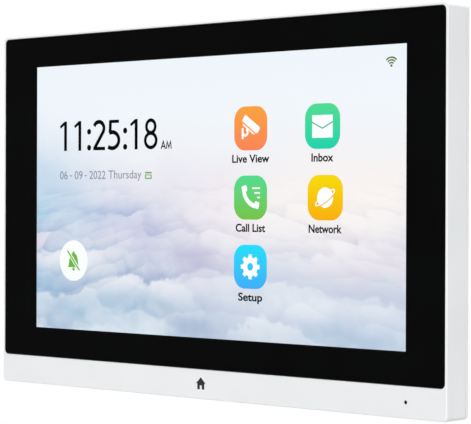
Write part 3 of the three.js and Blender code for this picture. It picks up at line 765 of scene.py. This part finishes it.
def build_glass():
    rim, chamfer = GLASS_EDGE + 0.05, 0.05
    clear = inset(GLASS, rim, GLASS_CORNER - GLASS_EDGE)
    pane = skin("cover_glass_pane", [loop(clear, 0, y) for y in GLASS_Y])
    pane.visible_shadow = False
    dress(pane, "cover_glass", stands_for=["cover_glass"])
    inked = skin("cover_glass_edge", [
        *round_loops(GLASS, GLASS_Y[0], GLASS_EDGE, 1, 4),
        loop(GLASS, 0, GLASS_Y[1] - chamfer), loop(GLASS, chamfer, GLASS_Y[1]),
        loop(GLASS, rim, GLASS_Y[1]), loop(GLASS, rim, GLASS_Y[0]),
    ], closed=True)
    ink = moulded_plastic("inked_glass_edge", "08090A", "050606", 0.12, 1.0, 0.0002, 0.5)
    dress(smooth(inked), "cover_glass", ink)


# Lit things lie in front of the LCD cell in this order: picture, then signs.
PICTURE_Y, PICTURE_THICK = CELL_Y[0] - 0.02, 0.015
SIGNS_Y = CELL_Y[0] - 0.03


def build_picture():
    area = Outline(ACTIVE_X, ACTIVE_Z, 0.1)
    picture = skin("screen_picture", [loop(area, 0, PICTURE_Y), loop(area, 0, PICTURE_Y + PICTURE_THICK)])
    dress(picture, "screen", sky_picture("sky_picture"))


class Drawing:
    """Thin coloured shapes that face the room, in millimetres from the screen's middle."""

    LAYER, THICK = 0.04, 0.03

    def __init__(self, y):
        self.y = y
        self.points, self.faces, self.tints = [], [], []

    def shape(self, contours, layer, top, bottom=None):
        """Filled contours: the first is the outside, the others are holes."""
        flat = [[Vector((x, z, 0)) for x, z in contour] for contour in contours]
        self.fill(sum(flat, []), tessellate_polygon(flat), layer, top, bottom or top)

    def fill(self, flat, triangles, layer, top, bottom):
        start = len(self.points)
        low, high = min(point.y for point in flat), max(point.y for point in flat)
        first, last = linear(top), linear(bottom)
        for point in flat:
            share = (high - point.y) / (high - low)
            self.points.append((point.x, self.y - layer * self.LAYER, point.y + SCREEN_Z))
            self.tints.append([a + (b - a) * share for a, b in zip(first, last)])
        for triangle in triangles:
            self.faces.append([start + index for index in triangle])

    def text(self, words, x, z, colour, weight):
        """Words fitted to a box: x and z are its ranges, and weight thickens the letters."""
        curve = bpy.data.curves.new("words", "FONT")
        curve.body, curve.offset, curve.resolution_u = words, weight, 6
        helper = in_scene("words", curve)
        graph = bpy.context.evaluated_depsgraph_get()
        mesh = bpy.data.meshes.new_from_object(helper.evaluated_get(graph))
        points = [vertex.co for vertex in mesh.vertices]
        left, low = (min(point[axis] for point in points) for axis in (0, 1))
        wide, tall = max(point.x for point in points) - left, max(point.y for point in points) - low
        flat = [Vector((
            x[0] + (point.x - left) / wide * (x[1] - x[0]),
            z[0] + (point.y - low) / tall * (z[1] - z[0]), 0,
        )) for point in points]
        self.fill(flat, [tuple(face.vertices) for face in mesh.polygons], 1, colour, colour)
        bpy.data.objects.remove(helper)
        bpy.data.curves.remove(curve)
        bpy.data.meshes.remove(mesh)

    def finish(self, name):
        mesh = new_mesh(name, self.points, self.faces)
        layer = mesh.color_attributes.new("tint", "FLOAT_COLOR", "POINT")
        for index, tint in enumerate(self.tints):
            layer.data[index].color = tint
        with opened(mesh) as sheet:
            for face in sheet.faces:
                if face.normal.y > 0:
                    face.normal_flip()
        piece = in_scene(name, mesh)
        change = piece.modifiers.new("thickness", "SOLIDIFY")
        change.thickness, change.offset = self.THICK * MM, -1
        return settle(piece)


def band(inner, outer, x, z, start, end):
    """A piece of a ring between two angles in degrees."""
    near, far = (arc(x, z, (radius, radius), start, end, 16) for radius in (inner, outer))
    return far + near[::-1]


def turned(points, x, z, angle):
    """Points given round a middle, turned by an angle in degrees and moved to x, z."""
    turn = radians(angle)
    return [(x + a * cos(turn) - b * sin(turn), z + a * sin(turn) + b * cos(turn))
            for a, b in points]


def moved(points, x, z):
    return [(x + a, z + b) for a, b in points]


def box_points(x, z):
    return [(x[0], z[0]), (x[1], z[0]), (x[1], z[1]), (x[0], z[1])]


def stroke(path, width):
    """The outline of a line of even width along a path, with mitred turns."""
    line = [Vector(point) for point in path]
    left, right = [], []
    for index, point in enumerate(line):
        before = (point - line[index - 1]).normalized() if index else None
        after = (line[index + 1] - point).normalized() if index + 1 < len(line) else None
        along = ((before or after) + (after or before)).normalized()
        across = Vector((-along.y, along.x))
        stretch = 1 / max(along.dot(before or after), 0.4)
        left.append(tuple(point + across * width / 2 * stretch))
        right.append(tuple(point - across * width / 2 * stretch))
    return left + right[::-1]


DIGIT_HEIGHT, DIGIT_STROKE = 14.0, 1.9


def digit_one(x, z):
    """A stem with a short flag, where x is its right side."""
    top, thick = z + DIGIT_HEIGHT, DIGIT_STROKE
    return [[[
        (x - thick, z), (x, z), (x, top), (x - thick + 0.2, top), (x - 4.9, top - 2.2),
        (x - 4.3, top - 3.3), (x - thick, top - 1.9),
    ]]]


def digit_two(x, z):
    head = arc(x + 3.9, z + 10.2, (3.4, 3.1), 158, -28)
    path = [*head, (x + 1.0, z + 0.9)]
    foot = box_points((x + 0.2, x + 8.1), (z, z + 1.6))
    return [[stroke(path, DIGIT_STROKE)], [foot]]


def digit_five(x, z):
    top = z + DIGIT_HEIGHT
    bar = box_points((x + 1.2, x + 7.4), (top - 1.5, top))
    stem = stroke([(x + 1.8, top - 0.3), (x + 1.5, z + 7.9)], DIGIT_STROKE)
    bowl = stroke([(x + 1.1, z + 7.9), *arc(x + 3.0, z + 4.55, (4.4, 3.75), 96, -128, 20)], DIGIT_STROKE)
    return [[bar], [stem], [bowl]]


def digit_eight(x, z):
    rings = ((z + 10.35, (3.65, 3.7)), (z + 4.0, (4.35, 4.1)))
    thick = 0.88 * DIGIT_STROKE
    return [[
        arc(x + 4.3, level, (wide, tall), 0, 351, 39),
        arc(x + 4.3, level, (wide - thick, tall - thick), 0, 351, 39),
    ] for level, (wide, tall) in rings]


def colon(x, z):
    return [[circle(x, z + height, 1.35, 20)] for height in (1.3, 8.8)]


ICON_SIZE, ICON_CORNER, ICON_PITCH = 19.2, 6.2, 30.15
ICON_TOP = 30.05
LABEL_INK, LABEL_WEIGHT = "050608", 0.024
PALE = "FDFFFE"


def sign_camera(draw, x, z):
    body = [(-5.4, -1.3), (4.6, -1.3), (5.2, -0.4), (5.2, 1.6), (4.8, 2), (-5.4, 2)]
    draw.shape([turned(body, x + 0.2, z + 1.4, -34)], 2, PALE)
    hood = [(-4.2, -2.7), (3.2, -2.7), (4.4, -1.9), (-4.2, -1.9)]
    draw.shape([turned(hood, x + 0.2, z + 1.4, -34)], 2, "FFF3E8")
    draw.shape([box_points((x - 5.2, x - 4.1), (z - 4.6, z + 0.2))], 2, PALE)
    draw.shape([band(0.9, 2.0, x - 3.2, z - 1.6, -180, 60)], 2, PALE)


def sign_envelope(draw, x, z):
    draw.shape([box_points((x - 5.6, x + 5.6), (z - 4.9, z + 4.7))], 2, PALE)
    fold = [(-5.6, 2.0), (0, -0.6), (5.6, 2.0), (5.6, 1.4), (0, -1.2), (-5.6, 1.4)]
    draw.shape([moved(fold, x, z)], 3, "4FAE9A")


def sign_handset(draw, x, z):
    middle = x + 4.2, z + 4.4
    draw.shape([band(7.2, 9.2, *middle, 188, 262)], 2, PALE)
    pad = rounded_rect((-1.5, 1.5), (-1.35, 1.35), 0.5, 4)
    for angle, tilt in ((184, 12), (266, -12)):
        end = polar(*middle, (7.7, 7.7), angle)
        draw.shape([turned(pad, *end, angle + tilt)], 2, PALE)
    for line, length in enumerate((4.6, 3.3, 1.7)):
        level = z + 3.7 - 2 * line
        draw.shape([box_points((x + 5.6 - length, x + 5.6), (level, level + 0.7))], 2, PALE)


def sign_planet(draw, x, z):
    draw.shape([circle(x, z, 4.3, 40)], 2, PALE)
    oval = arc(0, 0, (6.3, 1.75), 0, 352.5, 47)
    hole = [(a * 0.9, b * 0.68) for a, b in oval]
    draw.shape([turned(oval, x, z, 32), turned(hole, x, z, 32)], 3, PALE)
    gap = [point for point in oval[24:] if abs(point[0]) < 5.2]
    rim = [(a, b - 0.45) for a, b in gap]
    draw.shape([turned(gap + rim[::-1], x, z, 32)], 4, "E7B52A")


def sign_gear(draw, x, z):
    outline = []
    for tooth in range(0, 360, 45):
        for angle, radius in ((-15, 4.2), (-8.5, 5.5), (8.5, 5.5), (15, 4.2)):
            outline.append(polar(x, z, (radius, radius), tooth + angle))
    draw.shape([outline, circle(x, z, 1.7, 24)], 2, PALE)


# Each tile: its label, place across, row, half width of the label, colours and the sign on it.
ICONS = (
    ("Live View", 26.7, 0, 10.8, "FBA23C", "FB8458", sign_camera),
    ("Inbox", 67.2, 0, 6.0, "4FDC92", "1CD2AC", sign_envelope),
    ("Call List", 26.7, 1, 8.6, "52DC8C", "76C442", sign_handset),
    ("Network", 68.8, 1, 9.0, "F8DA06", "FAAE08", sign_planet),
    ("Setup", 26.7, 2, 7.0, "22DEFA", "3FADF8", sign_gear),
)


def draw_icons(draw):
    for label, x, row, half, top, bottom, sign in ICONS:
        z = ICON_TOP - row * ICON_PITCH
        tile = rounded_rect(around(x, ICON_SIZE), around(z, ICON_SIZE), ICON_CORNER)
        draw.shape([tile], 1, top, bottom)
        sign(draw, x, z)
        low = z - 16.1 if any(letter in label for letter in "gjpqy") else z - 15.0
        draw.text(label, (x - half, x + half), (low, z - 11.4), LABEL_INK, LABEL_WEIGHT)


CLOCK_Z, CLOCK_INK = 22.0, "030405"
DATE_INK, DATE_WEIGHT = "8F95A3", 0.004
# Left to right: what is drawn and its left side, or for a one its right side.
CLOCK = (
    (digit_one, -90.3), (digit_one, -80.4), (colon, -75.0), (digit_two, -72.3),
    (digit_five, -62.4), (colon, -50.9), (digit_one, -42.8), (digit_eight, -38.6),
)
# The letters A and M as strokes: each point is across the screen and above the clock's foot.
MORNING_SIGN = (
    ((-27.6, 0), (-26.3, 3.4), (-25.0, 0)), ((-27.1, 1.1), (-25.5, 1.1)),
    ((-24.3, 0), (-23.9, 3.3), (-22.8, 0.6), (-21.7, 3.3), (-21.3, 0)),
)
DATE = (
    ("06", -95.0, -89.7), ("-", -88.1, -86.6), ("09", -84.9, -79.4), ("-", -78.0, -76.5),
    ("2022", -74.7, -63.9),
)


def draw_clock(draw):
    for digit, x in CLOCK:
        for layer, contours in enumerate(digit(x, CLOCK_Z)):
            draw.shape(contours, 1 + layer, CLOCK_INK)
    for path in MORNING_SIGN:
        draw.shape([stroke([(x, CLOCK_Z + z) for x, z in path], 0.62)], 2, CLOCK_INK)
    for words, left, right in DATE:
        level = (9.9, 10.4) if words == "-" else (8.5, 12.4)
        draw.text(words, (left, right), level, DATE_INK, DATE_WEIGHT)
    draw.text("Thursday", (-61.9, -40.3), (7.4, 12.5), DATE_INK, DATE_WEIGHT)
    green = "6BA64A"
    draw.shape([box_points((-37.9, -33.7), (10.9, 11.6))], 1, green)
    draw.shape([box_points((-37.9, -33.7), (8.4, 10.4)), box_points((-37.3, -34.3), (8.9, 10.0))], 1, green)


def draw_bell(draw):
    x, z = -85.4, -30.0
    green, disc = "6FB83C", "FBFEFC"
    draw.shape([circle(x, z, 9.6, 56)], 1, disc)
    half = [(0.6, 4.3), (0.8, 3.4), (2.2, 2.4), (2.9, 0.6), (3.3, -2.2), (3.9, -3.2)]
    draw.shape([moved([(-a, b) for a, b in half[::-1]] + half, x, z)], 2, green)
    draw.shape([circle(x, z - 4.1, 0.8, 16)], 2, green)
    draw.shape([turned(box_points((-6.4, 6.4), (-0.9, 0.9)), x, z, -48)], 3, disc)
    draw.shape([turned(box_points((-6.2, 6.2), (-0.4, 0.4)), x, z, -48)], 4, green)


def draw_signal(draw):
    x, z, green = 103.6, 53.6, "587428"
    for inner, outer in ((1.25, 1.85), (2.35, 2.95), (3.4, 4.05)):
        draw.shape([band(inner, outer, x, z, 45, 135)], 1, green)
    draw.shape([circle(x, z + 0.3, 0.55, 16)], 1, green)


def build_signs():
    draw = Drawing(SIGNS_Y)
    for part in (draw_clock, draw_icons, draw_bell, draw_signal):
        part(draw)
    dress(draw.finish("screen_signs"), "screen", screen_light("screen_signs"))


def dust_mesh(name):
    """Fine black cloth that keeps dust out."""
    shader = Shader(name)
    weave = shader.socket("TexChecker", {
        "Vector": shader.place(), "Scale": 8.0, "Color1": (0, 0, 0, 1), "Color2": (1, 1, 1, 1),
    }, "Fac")
    return shader.principled(
        base_color=shader.mix(weave, linear("060606"), linear("111112")), roughness=0.7,
        specular_ior_level=0.1, normal=shader.bump(weave, 0.02),
    )


def build_dust_meshes():
    """Woven meshes just inside the microphone hole and behind the speaker slots."""
    look = dust_mesh("dust_mesh")
    front = FRONT_Y + 0.35
    rings = ((0.6, front), (0.79, front + 0.05), (0.79, front + 0.3))
    disc = turned_bar("microphone_mesh", *MICROPHONE.place, rings, 40)
    dress(smooth(disc), "black_rubber", look)
    x, y = grow(span("speaker_frame", 0), -4), grow(SPEAKER_SLOTS.y, 0.05)
    inside = BODY_Z[0] + WALL
    cloth = upright("speaker_mesh", rounded_rect(x, y, 1, 4), (inside + 0.02, inside + 0.1))
    dress(cloth, "black_rubber", look)


def build_mark():
    """A plain house printed in the middle of the chin."""
    draw = Drawing(FRONT_Y + Drawing.THICK)
    half = [(0.6, -0.5), (0.6, -2.3), (2.1, -2.3), (2.1, 0.3), (2.9, 0.3), (0, 3.1)]
    house = half + [(-x, z) for x, z in half[-2::-1]]
    draw.shape([moved(house, -0.8, CHIN_Z - SCREEN_Z)], 1, "2B2D30")
    dress(draw.finish("chin_mark"), "black_ink", printed_ink("chin_ink"))


# ---- fittings at the back

TERMINALS = Sizes(
    count=8, pitch=3.5, screw_z=-19.5, screw=((1.12, -3.15), (1.12, -2.68), (1.04, -2.6)),
    clamp_z=(-17.7, -17.1), clamp=1.9,
)
CONTACTS = Sizes(count=8, pitch=1.02, thick=0.22, width=0.4)
CONTACT_PATH = ((-2.5, -11.0), (-2.7, -10.3), (-4.7, -4.2), (-5.2, -3.0), (-5.3, -1.8))


def build_terminal_screws():
    """Slotted screws in the plug's wells and the clamps that they tighten."""
    level = TERMINALS.screw_z
    clamp_y = around(centre("terminal_plug", 1) - 0.4, TERMINALS.clamp)
    screws, slots, clamps = [], [], []
    for index, x in enumerate(spaced(centre("terminal_header", 0), TERMINALS)):
        screws.append(turned_bar("screw", x, level, TERMINALS.screw, 28))
        slot = turned(box_points((-1.3, 1.3), (-0.2, 0.2)), x, level, 37 * index % 60 - 30)
        slots.append(prism(slot, (-2.85, -2)))
        clamps.append(block(around(x, TERMINALS.clamp), clamp_y, TERMINALS.clamp_z, 0.1))
    heads = cut(joined(screws), slots)
    piece = smooth(joined([heads, joined(clamps)], "terminal_screws"))
    dress(piece, "bright_steel", body="terminal_plug")


def build_jack_contacts():
    """Gilt springs that slope into the network jack."""
    springs = [
        skin("spring", strip_loops(CONTACT_PATH, CONTACTS.thick, around(x, CONTACTS.width)))
        for x in spaced(centre("rj45_jack", 0), CONTACTS)
    ]
    dress(smooth(joined(springs, "jack_contacts"), 50), "gold_foil")


def build_label_border():
    """A thin printed frame round the blank label."""
    face, line = span("rear_label", 1)[1], 0.25
    under, over = face - 0.005, face + 0.01
    outer = inset(Outline(span("rear_label", 0), span("rear_label", 2), 0), 1.2, 1.0)
    loops = [loop(outer, 0, under), loop(outer, 0, over), loop(outer, line, over), loop(outer, line, under)]
    dress(skin("label_border", loops, closed=True), "black_ink")


# ---- pieces kept close to the CAD

EDGE_WIDTHS = {
    0.03: ("rear_label",),
    0.05: ("speaker_gasket",),
    0.06: ("lcd_top_chassis", "backlight_tray", "light_guide", "led_bar"),
    0.08: ("main_board", "rj45_jack", "memory_chip_1", "memory_chip_2", "storage_chip", "lcd_driver_board"),
    0.1: ("memory_card", "reset_switch", "card_socket", "soc_chip", "lcd_plastic_frame",
          "board_screw_1", "board_screw_2", "board_screw_3", "board_screw_4"),
    0.12: ("terminal_header", "case_screw_1", "case_screw_2", "case_screw_3", "case_screw_4"),
    0.15: ("reset_button", "wifi_module", "heat_spreader", "thermal_pad", "speaker_cone"),
    0.2: ("terminal_plug", "speaker_connector", "microphone_connector", "speaker_magnet",
          "microphone", "microphone_boot"),
    0.25: ("lan_transformer", "power_capacitor", "clock_cell"),
    0.3: ("speaker_frame",),
    0.4: ("power_inductor",),
}
# The LCD's metal top is black where its slot is bright.
BLACK_STEEL = moulded_plastic("blackened_steel", "08090A", "040405", 0.7, 3.0, 0.002, 0.02)


def refine_pieces():
    """Rounds the edges of the rigid CAD pieces and gives every piece its look."""
    bodies = frame["record"]["behaviour"]["bodies"]
    body_of = {node: body for body, nodes in bodies.items() for node in nodes}
    slots = {part["node"]: part["material_slot"] for part in frame["record"]["subparts"]}
    widths = {node: width for width, nodes in EDGE_WIDTHS.items() for node in nodes}
    rebuilt = {"front_frame", "rear_housing", "wall_bracket", "cover_glass"}
    for node, part in frame["nodes"].items():
        if node in rebuilt:
            continue
        look = BLACK_STEEL if node == "lcd_top_chassis" else SLOT_LOOKS[slots[node]]
        if node in widths:
            piece = soften(in_scene(node + "_fine", part.data.copy()), widths[node])
            dress(smooth(piece), slots[node], look, body_of[node], [node])
        else:
            part.data.materials.clear()
            part.data.materials.append(look)


# ---- camera and light

def direction(azimuth, elevation):
    """From the monitor toward a place at angles in degrees: 0, 0 is straight in front."""
    turn, rise = radians(azimuth), radians(elevation)
    return Vector((sin(turn) * cos(rise), -cos(turn) * cos(rise), sin(rise)))


def build_camera():
    back = direction(CAMERA.azimuth, CAMERA.elevation)
    turn, roll = radians(CAMERA.azimuth), radians(CAMERA.roll)
    right = Vector((cos(turn), sin(turn), 0))
    up = back.cross(right)
    across = cos(roll) * right + sin(roll) * up
    above = cos(roll) * up - sin(roll) * right
    camera = in_scene("camera", bpy.data.cameras.new("camera"))
    camera.data.lens, camera.data.sensor_width = CAMERA.lens, 36
    pose = Matrix((across, above, back)).transposed().to_4x4()
    pose.translation = (Vector(CAMERA.aim) + back * CAMERA.distance) * MM
    camera.matrix_world = pose
    bpy.context.scene.camera = camera


# Far soft lamps: name, azimuth, elevation, strength and spread in degrees.
LAMPS = (
    ("front_lamp", 12, 25, 1.95, 30),
    ("side_lamp", 96, 25, 1.3, 30),
    ("rear_lamp", 205, 25, 1.6, 60),
)


def build_lamps():
    for name, azimuth, elevation, strength, width in LAMPS:
        lamp = bpy.data.lights.new(name, "SUN")
        lamp.energy, lamp.angle = strength, radians(width)
        holder = in_scene(name, lamp)
        holder.rotation_euler = direction(azimuth, elevation).to_track_quat("Z", "Y").to_euler()


def build_world():
    """White to the camera; for all other light a dome that is bright above and dim at the sides."""
    studio = Shader("studio", bpy.data.worlds, "OutputWorld")
    height = studio.socket("SeparateXYZ", {0: studio.socket("TexCoord", output="Generated")}, "Z")
    dome, plain = (
        studio.socket("Background", {"Color": (1, 1, 1, 1), "Strength": strength})
        for strength in (studio.remap(height, 0.15, 0.8, 0.06, 0.6), 1.0)
    )
    seen = studio.socket("LightPath", output="Is Camera Ray")
    blend = studio.socket("MixShader", {0: seen, 1: dome, 2: plain})
    bpy.context.scene.world = studio.surface(blend)


def build_floor():
    """A pale round floor well below the monitor, which hangs on a wall."""
    drop, radius, sides = -950, 4200, 96
    points = [(x, y, drop) for x, y in circle(0, 0, radius, sides)]
    floor = mesh_object("floor", points, [tuple(range(sides))])
    shader = Shader("pale_floor")
    grain = shader.noise(shader.place(), 0.02, 3)
    look = shader.principled(
        base_color=shader.mix(shader.spread(grain, 0, 1), linear("CECECE"), linear("C9C9C9")),
        roughness=0.8,
    )
    floor.data.materials.append(look)


bpy.context.scene.view_settings.view_transform = "Standard"
bpy.context.scene.view_settings.look = "None"

for build in (
    build_camera, build_lamps, build_world, build_floor, build_front_frame, build_rear_housing,
    build_bracket, build_glass, build_picture, build_signs, build_dust_meshes, build_terminal_screws,
    build_jack_contacts, build_label_border, build_mark, refine_pieces,
):
    build()
